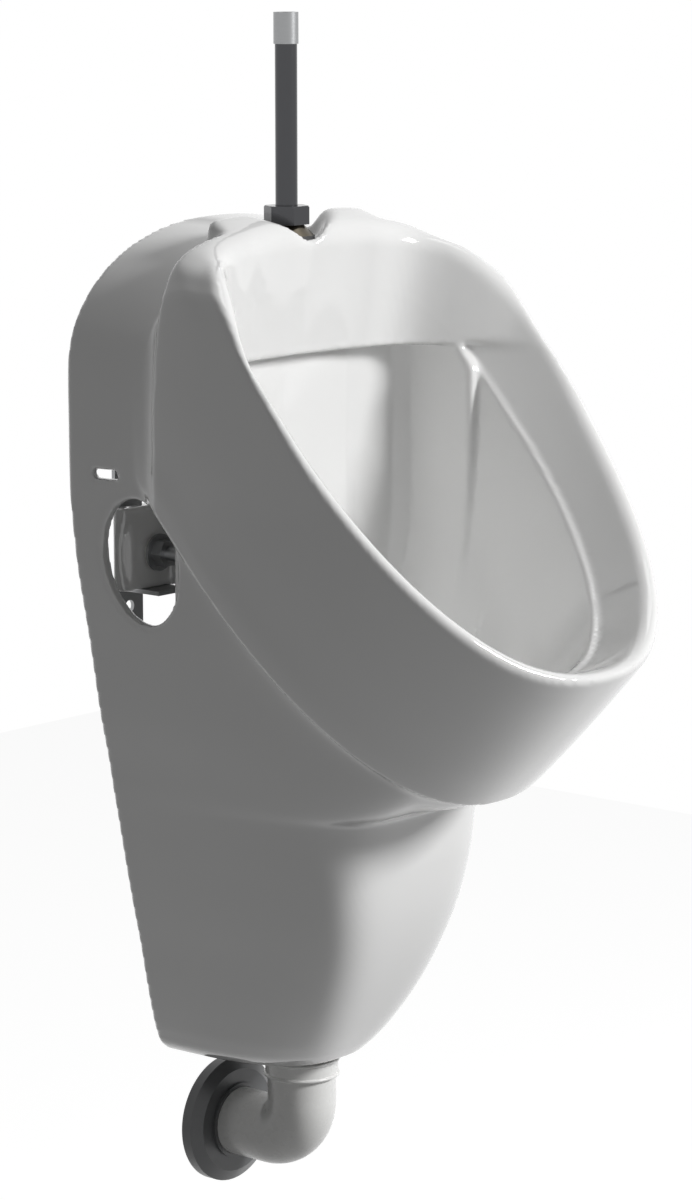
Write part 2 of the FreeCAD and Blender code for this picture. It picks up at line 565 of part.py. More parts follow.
def inlet_nut():
    neck_up = INLET_SEAT_UP + RUBBER_FLANGE + SPUD_CONE_HEIGHT
    low = neck_up + GAP
    inside = SPUD_NECK_HEIGHT + OLIVE_HEIGHT
    body = hexagon(INLET_NUT_FLATS, inside + INLET_NUT_LID, 0, INLET_OUT, low)
    corners = INLET_NUT_FLATS / math.sqrt(3)
    chamfer = Part.makeCone(corners + inside, corners - 1.5, inside + INLET_NUT_LID + 0.6, at(0, INLET_OUT, low))
    thread = rod(SPUD_NECK_R + RUN, inside, 0, INLET_OUT, low)
    bore = rod(PIPE_R + GAP, THROUGH, 0, INLET_OUT, low)
    return body.common(chamfer).cut([thread, bore])


# ================================================================ drain and trap
def waste_flange():
    low = WASTE_END_UP
    tail = tube(WASTE_R, WASTE_BORE_R, WASTE_LENGTH, 0, DRAIN_OUT, low)
    lip = tube(FLANGE_R, WASTE_BORE_R, FLANGE_LIP, 0, DRAIN_OUT, FLANGE_UP)
    return joined([tail, lip])


def waste_seal():
    return tube(FLANGE_R, WASTE_R, SEAL_THICKNESS, 0, DRAIN_OUT, DRAIN_UP)


def back_seal():
    return tube(BACK_NUT_R, WASTE_R, SEAL_THICKNESS, 0, DRAIN_OUT, DRAIN_UP - FLOOR_THICKNESS - SEAL_THICKNESS)


def waste_back_nut():
    body = rod(BACK_NUT_R, BACK_NUT_HEIGHT, 0, DRAIN_OUT, BACK_NUT_UP).cut(
        rod(WASTE_R, BACK_NUT_HEIGHT, 0, DRAIN_OUT, BACK_NUT_UP))
    notches = []
    for count in range(6):
        angle = math.radians(60 * count)
        notches.append(rod(4.0, BACK_NUT_HEIGHT, (BACK_NUT_R + 1) * math.cos(angle),
                           DRAIN_OUT + (BACK_NUT_R + 1) * math.sin(angle), BACK_NUT_UP))
    return body.cut(notches)


def drain_strainer():
    """Pressed cap with holes, and a short tube that keeps it in the drain."""
    low = FLANGE_UP + FLANGE_LIP
    reach = (STRAINER_R ** 2 + STRAINER_RISE ** 2) / (2 * STRAINER_RISE)
    centre = at(0, DRAIN_OUT, low + STRAINER_RISE - reach)
    cap = Part.makeSphere(reach, centre).cut(Part.makeSphere(reach - STRAINER_SHEET, centre))
    cap = cap.common(rod(STRAINER_R, STRAINER_RISE + 1, 0, DRAIN_OUT, low))
    guide = tube(WASTE_BORE_R - RUN, WASTE_BORE_R - RUN - STRAINER_SHEET, STRAINER_SKIRT + STRAINER_RISE, 0,
                 DRAIN_OUT, low - STRAINER_SKIRT)
    guide = guide.cut(Part.makeSphere(500, centre).cut(Part.makeSphere(reach - STRAINER_SHEET / 2, centre)))
    holes = [rod(STRAINER_HOLE_R, THROUGH, 0, DRAIN_OUT, low)]
    for radius, count in ((7.0, 6), (WASTE_BORE_R + 4.5, 16)):
        for turn in range(count):
            angle = 2 * math.pi * turn / count
            holes.append(rod(STRAINER_HOLE_R, THROUGH, radius * math.cos(angle), DRAIN_OUT + radius * math.sin(angle), low))
    return cap.fuse(guide).cut(holes)


def trap_body():
    """Upper half of the trap, with the arm that turns down to the tail pipe."""
    shell = rod(TRAP_R, TRAP_BODY_HEIGHT, 0, DRAIN_OUT, TRAP_BODY_UP)
    neck = rod(NECK_R, NECK_HEIGHT, 0, DRAIN_OUT, TRAP_TOP_UP)
    run = DRAIN_OUT - OUTLET_OUT - TRAP_BEND_R
    bend_centre = at(0, OUTLET_OUT + TRAP_BEND_R, TRAP_ARM_UP - TRAP_BEND_R)

    def passage(radius):
        level = rod(radius, run, 0, DRAIN_OUT, TRAP_ARM_UP, (0, 1, 0))
        disc = Part.Face(Part.Wire(Part.makeCircle(radius, at(0, OUTLET_OUT + TRAP_BEND_R, TRAP_ARM_UP),
                                                   FreeCAD.Vector(0, 1, 0))))
        return [level, disc.revolve(bend_centre, FreeCAD.Vector(1, 0, 0), -90)]
    socket = rod(SOCKET_R, TAIL_SOCKET + SOCKET_SHOULDER, 0, OUTLET_OUT, SOCKET_UP)
    body = shell.fuse([neck, socket] + passage(TRAP_ARM_R))
    room = rod(TRAP_R - TRAP_WALL, TRAP_BODY_HEIGHT - TRAP_WALL, 0, DRAIN_OUT, TRAP_BODY_UP)
    top = rod(WASTE_R + RUN, NECK_HEIGHT, 0, DRAIN_OUT, TRAP_TOP_UP)
    throat = rod(DIP_TUBE_R, 2 * TRAP_WALL, 0, DRAIN_OUT, TRAP_TOP_UP - 1.5 * TRAP_WALL)
    tail_hole = rod(TAIL_R, TAIL_SOCKET, 0, OUTLET_OUT, SOCKET_UP)
    return body.cut([room, top, throat, tail_hole] + passage(TRAP_ARM_R - TAIL_WALL)).removeSplitter()


def dip_tube():
    low = TRAP_CUP_UP + TRAP_WALL + DIP_TUBE_RISE
    return tube(DIP_TUBE_R, DIP_TUBE_R - DIP_TUBE_WALL, TRAP_TOP_UP - low, 0, DRAIN_OUT, low)


def trap_inlet_seal():
    return tube(NECK_R, WASTE_R, NUT_SEAL - GAP, 0, DRAIN_OUT, TRAP_TOP_UP + NECK_HEIGHT)


def ring_nut(inner, seat, height, lid, out, up):
    """Ribbed union nut: a ring over a threaded end, with a lid that presses on the seal."""
    outer = seat + RING_NUT_WALL
    body = rod(outer, height, 0, out, up).cut([rod(seat, height - lid, 0, out, up), rod(inner, height, 0, out, up)])
    ribs = []
    for count in range(RING_NUT_RIBS):
        angle = 2 * math.pi * count / RING_NUT_RIBS
        ribs.append(rod(RIB_R, height, outer * math.cos(angle), out + outer * math.sin(angle), up))
    return body.fuse(ribs).removeSplitter()


def trap_inlet_nut():
    return ring_nut(WASTE_R + GAP, NECK_R + RUN, TRAP_NUT_HEIGHT - GAP, TRAP_NUT_LID, DRAIN_OUT, TRAP_TOP_UP + GAP)


def trap_cup():
    """Cup that screws over the trap body from below."""
    collar = rod(TRAP_R + CUP_COLLAR_WALL, TRAP_THREAD + CUP_COLLAR_FOOT, 0, DRAIN_OUT,
                 TRAP_BODY_UP - CUP_COLLAR_FOOT)
    body = collar.fuse(rod(TRAP_R, TRAP_CUP_HEIGHT, 0, DRAIN_OUT, TRAP_CUP_UP))
    room = rod(TRAP_R - TRAP_WALL, TRAP_CUP_HEIGHT, 0, DRAIN_OUT, TRAP_CUP_UP + TRAP_WALL)
    thread = rod(TRAP_R + RUN, TRAP_THREAD + SEAL_THICKNESS, 0, DRAIN_OUT, TRAP_BODY_UP - SEAL_THICKNESS)
    grip = box(-CUP_GRIP_SHEET / 2, CUP_GRIP_SHEET / 2, DRAIN_OUT - CUP_GRIP_HALF, DRAIN_OUT + CUP_GRIP_HALF,
               TRAP_CUP_UP - CUP_GRIP_HEIGHT, TRAP_CUP_UP)
    return body.fuse(grip).cut([room, thread]).removeSplitter()


def trap_cup_seal():
    return tube(TRAP_R, TRAP_R - TRAP_WALL, SEAL_THICKNESS - GAP, 0, DRAIN_OUT, TRAP_BODY_UP - SEAL_THICKNESS + GAP)


# ================================================================ outlet
def tail_pipe():
    return tube(TAIL_R, TAIL_R - TAIL_WALL, SOCKET_UP + TAIL_SOCKET - TAIL_STOP - TAIL_END_UP, 0, OUTLET_OUT, TAIL_END_UP)


def tail_seal():
    return tube(SOCKET_R, TAIL_R, NUT_SEAL - GAP, 0, OUTLET_OUT, SOCKET_UP - NUT_SEAL + GAP)


def tail_nut():
    nut = ring_nut(TAIL_R + GAP, SOCKET_R + RUN, TAIL_NUT_HEIGHT, TRAP_NUT_LID, OUTLET_OUT, 0)
    middle = at(0, OUTLET_OUT, TAIL_NUT_HEIGHT / 2)
    nut.rotate(middle, FreeCAD.Vector(1, 0, 0), 180)
    nut.translate(FreeCAD.Vector(0, 0, SOCKET_UP - NUT_SEAL - TRAP_NUT_LID))
    return nut


def outlet_elbow():
    """Socket under the skirt, bend, and the arm to the wall."""
    bend_up = -ARM_DROP + ELBOW_BEND_R

    def passage(radius, arm_end):
        upright = rod(radius, COLLAR_UP + 1 - bend_up, 0, OUTLET_OUT, bend_up)
        disc = Part.Face(Part.Wire(Part.makeCircle(radius, at(0, OUTLET_OUT, bend_up), FreeCAD.Vector(0, 0, 1))))
        bend = disc.revolve(at(0, OUTLET_OUT - ELBOW_BEND_R, bend_up), FreeCAD.Vector(1, 0, 0), 90)
        arm = rod(radius, OUTLET_OUT - ELBOW_BEND_R - arm_end, 0, OUTLET_OUT - ELBOW_BEND_R, -ARM_DROP, (0, 1, 0))
        return [upright, bend, arm]
    socket = rod(COLLAR_R, COLLAR_HEIGHT, 0, OUTLET_OUT, COLLAR_UP)
    beads = [Part.makeTorus(COLLAR_R, COLLAR_BEAD, at(0, OUTLET_OUT, up))
             for up in (COLLAR_UP + COLLAR_BEAD, -COLLAR_DROP - COLLAR_BEAD)]
    body = socket.fuse(beads + passage(ELBOW_R, 0))
    bore = ELBOW_R - ELBOW_WALL
    hollow = passage(bore, -1) + [rod(bore, COLLAR_HEIGHT + 1, 0, OUTLET_OUT, COLLAR_UP)]
    groove = rod(COLLAR_R - COLLAR_WALL, COLLAR_HEIGHT - 3, 0, OUTLET_OUT, COLLAR_UP + 3)
    return body.cut(hollow + [groove]).removeSplitter()


def socket_seal():
    return tube(COLLAR_R - COLLAR_WALL, TAIL_R + RUN, COLLAR_HEIGHT - 4, 0, OUTLET_OUT, COLLAR_UP + 3)


def wall_rosette():
    """Dished cover ring that hides the hole in the wall."""
    def dish(radius, depth):
        edge = rod(radius, depth - ROSETTE_SLOPE, 0, 0, -ARM_DROP, (0, -1, 0))
        return edge.fuse(Part.makeCone(radius, radius - 1.6 * ROSETTE_SLOPE, ROSETTE_SLOPE,
                                       at(0, depth - ROSETTE_SLOPE, -ARM_DROP), FreeCAD.Vector(0, -1, 0)))
    outside = dish(ROSETTE_R, ROSETTE_DEPTH)
    inside = dish(ROSETTE_R - ROSETTE_SHEET, ROSETTE_DEPTH - ROSETTE_SHEET)
    hub = rod(ELBOW_R + 3, ROSETTE_DEPTH + 2, 0, 0, -ARM_DROP, (0, -1, 0))
    bore = rod(ELBOW_R + GAP, THROUGH, 0, -THROUGH / 4, -ARM_DROP, (0, -1, 0))
    return outside.cut(inside).fuse(hub).cut(bore).removeSplitter()


# ================================================================ wall fixings
def wall_bracket():
    """Bent strap: two feet on the wall, a raised bridge for the bolt and a shelf under the lug."""
    x0, x1 = STUD_X - BRACKET_WIDTH / 2, STUD_X + BRACKET_WIDTH / 2
    sheet, bridge = BRACKET_SHEET, BRACKET_BRIDGE / 2
    end = BRACKET_HEIGHT / 2
    pieces = [box(x0, x1, BRACKET_OUT - sheet, BRACKET_OUT, FIXING_UP - bridge, FIXING_UP + bridge),
              box(x0, x1, BRACKET_OUT, BRACKET_OUT + BRACKET_SHELF, FIXING_UP - bridge, FIXING_UP - bridge + sheet)]
    for sign in (-1, 1):
        edge = FIXING_UP + sign * (bridge - sheet / 2)
        pieces.append(box(x0, x1, 0, BRACKET_OUT, edge - sheet / 2, edge + sheet / 2))
        low, high = sorted((FIXING_UP + sign * (bridge - sheet), FIXING_UP + sign * end))
        pieces.append(box(x0, x1, 0, sheet, low, high))
    holes = [rod(WALL_HOLE_R, 3 * sheet, STUD_X, -sheet, FIXING_UP + sign * WALL_HOLE_PITCH / 2, (0, -1, 0))
             for sign in (-1, 1)]
    holes.append(rod(STUD_R, 3 * sheet, STUD_X, BRACKET_OUT - 2 * sheet, FIXING_UP, (0, -1, 0)))
    return joined(pieces).cut(holes)


def fixing_bolt():
    seat = BRACKET_OUT - BRACKET_SHEET
    head = hexagon(BOLT_HEAD_FLATS, BOLT_HEAD_HEIGHT, STUD_X, seat - BOLT_HEAD_HEIGHT, FIXING_UP, outward=True)
    shank = rod(STUD_R, STUD_LENGTH, STUD_X, seat, FIXING_UP, (0, -1, 0))
    return joined([head, shank])


def fixing_bush():
    seat = BRACKET_OUT + LUG_THICKNESS
    sleeve = rod(STUD_R + BUSH_WALL, LUG_THICKNESS, STUD_X, BRACKET_OUT, FIXING_UP, (0, -1, 0))
    flange = rod(BUSH_FLANGE_R, BUSH_FLANGE, STUD_X, seat, FIXING_UP, (0, -1, 0))
    return joined([sleeve, flange]).cut(rod(STUD_R, THROUGH, STUD_X, 0, FIXING_UP, (0, -1, 0)))


def fixing_washer():
    seat = BRACKET_OUT + LUG_THICKNESS + BUSH_FLANGE
    return tube(WASHER_R, STUD_R, WASHER_THICKNESS, STUD_X, seat, FIXING_UP, (0, -1, 0))


def fixing_nut():
    seat = BRACKET_OUT + LUG_THICKNESS + BUSH_FLANGE + WASHER_THICKNESS
    body = hexagon(BOLT_HEAD_FLATS, FIXING_NUT_HEIGHT, STUD_X, seat, FIXING_UP, outward=True)
    return body.cut(rod(STUD_R, THROUGH, STUD_X, 0, FIXING_UP, (0, -1, 0)))


def pair(shape):
    return Part.makeCompound([shape, mirrored(shape)])


def save(name, shape):
    shape.exportStep("parts/" + name + ".step")
    print(name, "solids", len(shape.Solids), "volume", round(shape.Volume), "valid", shape.isValid())


os.makedirs("parts", exist_ok=True)
save("flush_pipe", flush_pipe())
save("pipe_ferrule", pipe_ferrule())
save("inlet_rubber_connector", inlet_rubber())
save("inlet_spud", inlet_spud())
save("inlet_olive", inlet_olive())
save("inlet_nut", inlet_nut())
save("drain_strainer", drain_strainer())
save("waste_flange", waste_flange())
save("waste_upper_seal", waste_seal())
save("waste_lower_seal", back_seal())
save("waste_back_nut", waste_back_nut())
save("trap_body", trap_body())
save("trap_dip_tube", dip_tube())
save("trap_inlet_seal", trap_inlet_seal())
save("trap_inlet_nut", trap_inlet_nut())
save("trap_cup", trap_cup())
save("trap_cup_seal", trap_cup_seal())
save("tail_pipe", tail_pipe())
save("tail_seal", tail_seal())
save("tail_nut", tail_nut())
save("outlet_elbow", outlet_elbow())
save("outlet_socket_seal", socket_seal())
save("wall_rosette", wall_rosette())
save("left_wall_bracket", mirrored(wall_bracket()))
save("right_wall_bracket", wall_bracket())
save("fixing_bolts", pair(fixing_bolt()))
save("fixing_bushes", pair(fixing_bush()))
save("fixing_washers", pair(fixing_washer()))
save("fixing_nuts", pair(fixing_nut()))
save("china_body", china_body())
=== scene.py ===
import json
import math

import bpy
import numpy as np
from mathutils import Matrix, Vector

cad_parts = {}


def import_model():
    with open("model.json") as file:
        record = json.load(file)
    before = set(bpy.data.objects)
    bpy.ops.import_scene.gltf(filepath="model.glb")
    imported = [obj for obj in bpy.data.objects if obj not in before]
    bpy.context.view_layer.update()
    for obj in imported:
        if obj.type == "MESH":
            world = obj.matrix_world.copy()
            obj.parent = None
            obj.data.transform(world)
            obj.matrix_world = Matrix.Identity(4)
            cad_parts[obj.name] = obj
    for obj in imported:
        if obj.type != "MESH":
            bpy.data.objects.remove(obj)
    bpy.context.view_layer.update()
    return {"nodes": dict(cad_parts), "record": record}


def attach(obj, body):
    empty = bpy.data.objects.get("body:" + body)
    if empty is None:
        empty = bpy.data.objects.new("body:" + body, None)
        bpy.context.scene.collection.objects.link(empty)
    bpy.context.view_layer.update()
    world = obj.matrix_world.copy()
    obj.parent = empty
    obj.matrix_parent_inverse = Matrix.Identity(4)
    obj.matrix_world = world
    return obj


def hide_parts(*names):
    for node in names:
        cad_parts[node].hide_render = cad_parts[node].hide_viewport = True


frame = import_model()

# Wall hung urinal: glazed china body, flush pipe, drain, outlet elbow and wall fixings.
# Metres, in the row frame: the wall is Y = 0, the front faces -Y, Z is up.
# The china is worked out in millimetres: "out" from the wall, "up" from its lower edge.

MM = 0.001

# Sizes of the china in millimetres, the same as in the frame. Pairs are (out, up) unless a comment says otherwise.
HEIGHT = 581.0
HALF = 152.0                  # half width of the housing
WALL = 9.5                    # thickness of the housing
FIXING_UP = 362.0             # height of the wall fixings, which is Z = 0 in the row frame
FIXING_X = 95.0
FIXING_BORE = 7.5
LIP_HALF = 155.0              # half width of the bowl's lip
LIP_TOP = (88.0, 580.0)
LIP_FRONT = (338.0, 301.0)
LIP_WIDEST = 118.0            # how far along the lip it is widest
LIP_EDGE = 8.0                # width of the lip's flat edge
BAND_DEPTH = 38.0             # the band inside the lip, which leans inwards
BAND_WIDTH = 22.0
BOWL_DEPTH = 205.0            # below the lip, outside
BASIN_DEPTH = 204.0           # below the lip, inside
CROWN_ROUND = 113.0           # height over which the top rounds off
CROWN_SQUARE = 2.25
RIM_BACK = 60.0               # the rim box starts this far out
FASCIA_UP = 490.0             # lower edge of the rim's inner face
FASCIA_HEIGHT = 90.0
NICHE_FRONT = 131.0
NICHE_UP = 217.0              # lower end of the recess
HOLLOW_UP = (201.0, 476.0)    # floor of the hollow skirt, top of the hollow behind the recess
SEAT_UP = 567.0               # floor of the flush pipe's seat
PIPE_OUT, PIPE_BORE = 62.0, 13.0
DRAIN = (134.0, 215.0)
DRAIN_SEAT, DRAIN_BORE = 33.0, 21.0
OUTLET_OUT, OUTLET_BORE = 73.0, 21.0
LUG_UP = (338, 394)           # from, to
LUG_PLATE = ((71, 125), (16, 28))    # sideways from and to, out from and to
LUG_WEB = ((71, 82), (16, 62))
SIDE_HOLE_OUT, SIDE_HOLE_HALF = 52.0, (29, 43)
SLOT_OUT, SLOT_ABOVE, SLOT_HALF, SLOT_RADIUS = 30.0, 58.0, 7.5, 3.0

LIP_LENGTH = math.hypot(LIP_FRONT[0] - LIP_TOP[0], LIP_TOP[1] - LIP_FRONT[1])
LIP_COS = (LIP_FRONT[0] - LIP_TOP[0]) / LIP_LENGTH
LIP_SIN = (LIP_TOP[1] - LIP_FRONT[1]) / LIP_LENGTH

# The grid that the china's surface is drawn from.
GRID_STEP = 2.2
SPACE = (166, 352, 604)       # its ends: sideways, out, up
FAR = 40                      # distances are cut off here
FIELD_SCALE = 100             # brings a field without a unit near millimetres
SMALL_SCALE = 30
RELAX_ROUNDS = 3

# The camera, set to the photograph.
AZIMUTH, ELEVATION = math.radians(-50), math.radians(11)
DISTANCE = 2600.0
TARGET = (0, -0.130, -0.078)
SHIFT = (-0.0151, 0.0532)
SENSOR = 36.0
PIXELS_PER_MM, PHOTO_HEIGHT = 1.48, 1200


# ================================================================ distance fields
def curve(value, knots):
    """Smooth curve through (place, height) knots, straight beyond its ends."""
    places, heights = np.array(knots, dtype=float).T
    steps = np.diff(places)
    slopes = np.diff(heights) / steps
    inner = (slopes[:-1] * steps[1:] + slopes[1:] * steps[:-1]) / (steps[1:] + steps[:-1])
    turned = slopes[:-1] * slopes[1:] <= 0
    limit = 3 * np.minimum(np.abs(slopes[:-1]), np.abs(slopes[1:]))
    inner = np.where(turned, 0, np.clip(inner, -limit, limit))
    tangents = np.concatenate([[slopes[0]], inner, [slopes[-1]]])
    flat = np.asarray(value, dtype=float)
    index = np.clip(np.searchsorted(places, flat) - 1, 0, len(steps) - 1)
    step = steps[index]
    t = (flat - places[index]) / step
    s = np.clip(t, 0, 1)
    inside = ((2 * s ** 3 - 3 * s ** 2 + 1) * heights[index] + (s ** 3 - 2 * s ** 2 + s) * step * tangents[index]
              + (3 * s ** 2 - 2 * s ** 3) * heights[index + 1] + (s ** 3 - s ** 2) * step * tangents[index + 1])
    before = np.minimum(t, 0) * step * tangents[index]
    after = np.maximum(t - 1, 0) * step * tangents[index + 1]
    return inside + before + after


def union(a, b, blend=0.0):
    """Both forms together. blend is the size of the fillet between them."""
    if np.ndim(blend) == 0 and blend <= 0:
        return np.minimum(a, b)
    near = np.maximum(blend - np.abs(a - b), 0) / blend
    return np.minimum(a, b) - near * near * blend / 4


def common(a, b, blend=0.0):
    """What lies in both forms."""
    return -union(-a, -b, blend)


def cut(a, b, blend=0.0):
    """The first form without the second."""
    return common(a, -b, blend)


class Grid:
    """Right half of the space round the china, sampled every `step` millimetres."""

    def __init__(self, step):
        self.step = step
        self.x = (np.arange(int(SPACE[0] / step)) + 0.5) * step
        self.out = np.arange(-3 * step, SPACE[1], step)
        self.up = np.arange(-5 * step, SPACE[2], step)
        self.X = self.x[:, None, None]
        self.O = self.out[None, :, None]
        self.U = self.up[None, None, :]
        run, rise = self.O - LIP_TOP[0], self.U - LIP_TOP[1]
        self.A = run * LIP_COS - rise * LIP_SIN      # along the lip
        self.B = -run * LIP_SIN - rise * LIP_COS     # below the lip
        self.shape = (len(self.x), len(self.out), len(self.up))

    def distance(self, field):
        """The field divided by its slope, so that it reads as a distance near its surface."""
        field = np.broadcast_to(field, self.shape).astype(np.float32)
        slope = np.sqrt(sum(g * g for g in np.gradient(field, self.step)))
        return np.clip(field / np.maximum(slope, 1e-4), -FAR, FAR)

    def slab(self, x=None, out=None, up=None):
        """Box given by its ranges; None leaves a direction open."""
        parts = []
        for values, limits in ((self.X, x), (self.O, out), (self.U, up)):
            if limits:
                parts += [limits[0] - values, values - limits[1]]
        field = np.float32(-FAR)
        for part in parts:
            field = np.maximum(field, part)
        return field

    def rod(self, radius, out, low, high):
        """Upright rod on the centreline."""
        return np.maximum(np.hypot(self.X, self.O - out) - radius, np.maximum(low - self.U, self.U - high))


def housing(grid, inset=0.0):
    """Level outlines: share of the height, inset of the sides, depth, squareness, taper."""
    rows = [(0.000, 103, 100, 2.6, 0.00), (0.005, 94, 108, 2.7, 0.02), (0.014, 86, 114, 2.9, 0.05),
            (0.030, 81, 122, 3.3, 0.08), (0.058, 76, 134, 3.8, 0.12), (0.095, 71, 147, 4.5, 0.15),
            (0.145, 65, 161, 5.2, 0.17), (0.195, 58, 171, 5.7, 0.18), (0.258, 50, 178, 6.0, 0.19),
            (0.308, 44, 181, 5.6, 0.19), (0.324, 42, 183, 5.4, 0.19), (0.340, 40, 201, 5.0, 0.19),
            (0.368, 37, 224, 4.4, 0.19), (0.427, 29, 250, 3.5, 0.19),
            (0.520, 19, 256, 3.3, 0.19), (0.630, 6, 222, 3.0, 0.19), (0.715, -1, 212, 3.0, 0.19),
            (0.800, -2, 212, 3.0, 0.17), (0.900, -4, 212, 3.0, 0.10), (1.100, -10, 212, 3.0, 0.06)]
    share = grid.up / HEIGHT
    side, depth, square, taper = (curve(share, [(row[0], row[i]) for row in rows])[None, None, :]
                                  for i in (1, 2, 3, 4))
    deep = np.abs(grid.O) / (depth - inset)
    half = (HALF - side - inset) * (1 - taper * np.minimum(deep, 1.2))
    field = ((grid.X / half) ** square + deep ** square) ** (1 / square) - 1
    return grid.distance(field * FIELD_SCALE)


def crown(grid):
    """Rounded top of the housing, lower and narrower away from the wall."""
    top = np.interp(grid.out, (-1, 60, 450), (581, 573, 521))[None, :, None]
    side = np.interp(grid.out, (-1, 60, 450), (154.5, 151, 140))[None, :, None]
    rise = np.maximum(grid.U - (top - CROWN_ROUND), 0) / CROWN_ROUND
    field = ((grid.X / side) ** CROWN_SQUARE + rise ** CROWN_SQUARE) ** (1 / CROWN_SQUARE) - 1
    return grid.distance(field * FIELD_SCALE)


def rim_top(grid):
    """Top of the rim: a raised block at its back, the full width of the bowl in front."""
    back = curve(grid.x, [(0, 590), (51, 590), (71, 588), (79, 578), (82, 560), (86, 542), (101, 524), (125, 506),
                          (137, 486), (142, 462), (146, 420), (150, 340)])
    front = curve(grid.x, [(0, 590), (40, 589), (69, 584), (100, 576), (122, 566), (138, 553), (149, 533),
                           (154, 505), (157, 475), (159, 427), (162, 340)])
    share = np.clip((grid.out - 64) / 14, 0, 1)[None, :]
    top = back[:, None] * (1 - share) + front[:, None] * share
    return grid.distance(grid.U - top[:, :, None])


def egg(grid, rows, top_square=3.2, low_square=2.27, straight=False):
    """Egg outlines parallel to the lip. Rows: depth below it, half width, start, widest place, end."""
    below = np.clip(grid.B, rows[0][0], rows[-1][0])
    table = np.array(rows, dtype=float)
    if straight:
        values = [np.interp(below, table[:, 0], table[:, i]) for i in (1, 2, 3, 4)]
    else:
        values = [curve(below, table[:, (0, i)]) for i in (1, 2, 3, 4)]
    half, start, widest, end = values
    low = grid.A >= widest
    reach = np.where(low, end - widest, widest - start)
    square = np.where(low, low_square, top_square)
    field = ((grid.X / half) ** square + (np.abs(grid.A - widest) / reach) ** square) ** (1 / square) - 1
    return grid.distance(field * FIELD_SCALE)


def bowl_outside(grid):
    """Rows: depth below the lip, then how far the outline lies from the lip's own on each side."""
    rows = [(-45, 0, 0, 0, 0), (0, 0, 0, 0, 0), (20, 0, -34, 4, -2), (60, 1, -36, 14, -6), (100, 4, -31, 22, -9),
            (124, 6, -25, 30, -10), (131, 8, -23, 32, -10), (134, 15, -20, 34, -7), (141, 27, -16, 39, -1),
            (156, 44, -9, 49, 3), (178, 66, -1, 65, 15), (BOWL_DEPTH, 92, 20, 90, 38)]
    field = egg(grid, [(b, LIP_HALF - s, a, LIP_WIDEST + w, LIP_LENGTH - e) for b, s, a, w, e in rows])
    return common(field, grid.B - BOWL_DEPTH, 10)


def bowl_inside(grid):
    """The band below the lip, the basin under it and the recess behind it."""
    inner = LIP_HALF - LIP_EDGE - BAND_WIDTH
    edge = LIP_HALF - LIP_EDGE
    band = egg(grid, [(-40, edge + 23, -20, 114, LIP_LENGTH + 4), (0, edge, 0, 118, LIP_LENGTH - LIP_EDGE),
                      (BAND_DEPTH, inner, 10, 132, LIP_LENGTH - 25)], straight=True)
    band = common(band, grid.B - BAND_DEPTH)
    rows = [(BAND_DEPTH, 3, 4, 14, 28), (90, 8, 20, 30, 24), (125, 15, 42, 52, 24), (145, 26, 52, 66, 28),
            (165, 41, 62, 80, 38), (190, 61, 72, 97, 56), (BASIN_DEPTH, 76, 90, 108, 74)]
    deep = egg(grid, [(b, inner - s, a, LIP_WIDEST + w, LIP_LENGTH - e) for b, s, a, w, e in rows], low_square=2.2)
    deep = common(deep, np.maximum(BAND_DEPTH - 6 - grid.B, grid.B - BASIN_DEPTH), 6)
    deep = common(deep, -np.maximum(grid.O - NICHE_FRONT, grid.U - FASCIA_UP))
    return union(union(band, deep, 4), niche(grid), 5)


def niche(grid):
    """Upright recess with the flat back. Rows: height, half width, back, corner."""
    rows = [(NICHE_UP, 30, 112, 115), (224, 44, 96, 101), (236, 60, 80, 89), (256, 76, 66, 80), (284, 90, 58, 76),
            (324, 103, 56, 76), (370, 112, 56, 77), (FASCIA_UP, 114, 56, 77)]
    half, near, corner = (curve(grid.up, [(row[0], row[i]) for row in rows])[None, None, :] for i in (1, 2, 3))
    share = grid.X / half
    table = np.array([(0, 0), (0.55, 0.26), (0.88, 0.76), (0.985, 1.14), (1.0, 1.6), (1.2, 8.0)])
    back = near + (corner - near) * np.interp(share, table[:, 0], table[:, 1])
    field = common(grid.distance(back - grid.O), grid.distance(grid.X - half + 0 * grid.O), 3)
    ends = np.maximum(np.maximum(grid.O - NICHE_FRONT - 20, grid.U - FASCIA_UP), NICHE_UP - grid.U)
    return common(field, ends)


def fascia(grid):
    """What lies behind the inner face of the rim, above its lower edge."""
    low = curve(grid.x, [(0, 72), (60, 78), (99, 96), (119, 124), (139, 150), (159, 176)])
    high = curve(grid.x, [(0, 88), (60, 92), (111, 104), (131, 124), (151, 142), (171, 160)])
    share = np.clip((grid.up - FASCIA_UP) / FASCIA_HEIGHT, 0, 1.4)
    face = low[:, None] * (1 - share) + high[:, None] * share
    return common(grid.distance(grid.O - face[:, None, :]), FASCIA_UP - grid.U, 5)


def rear_hollow(grid):
    """The open back: the inside of the skirt, and a shallower space behind the recess."""
    plan = np.interp(grid.x, (57, 116), (45, 66))[:, None, None]
    behind = np.maximum(grid.O - plan, grid.U - HOLLOW_UP[1])
    return common(housing(grid, WALL), np.minimum(grid.U - HOLLOW_UP[0], behind), 4)


def scoop(grid):
    """Seat of the flush pipe in the top. Rows: height, half width, near end, far end."""
    rows = [(SEAT_UP, 21, 41, 83), (577, 28, 38, 86), (590, 44, 30, 91), (607, 66, 24, 100)]
    table = np.array(rows, dtype=float)
    half, near, far = (np.interp(grid.up, table[:, 0], table[:, i])[None, None, :] for i in (1, 2, 3))
    middle, reach = (near + far) / 2, (far - near) / 2
    field = grid.distance((np.hypot(grid.X / half, (grid.O - middle) / reach) - 1) * SMALL_SCALE)
    return common(field, SEAT_UP - grid.U, 3)


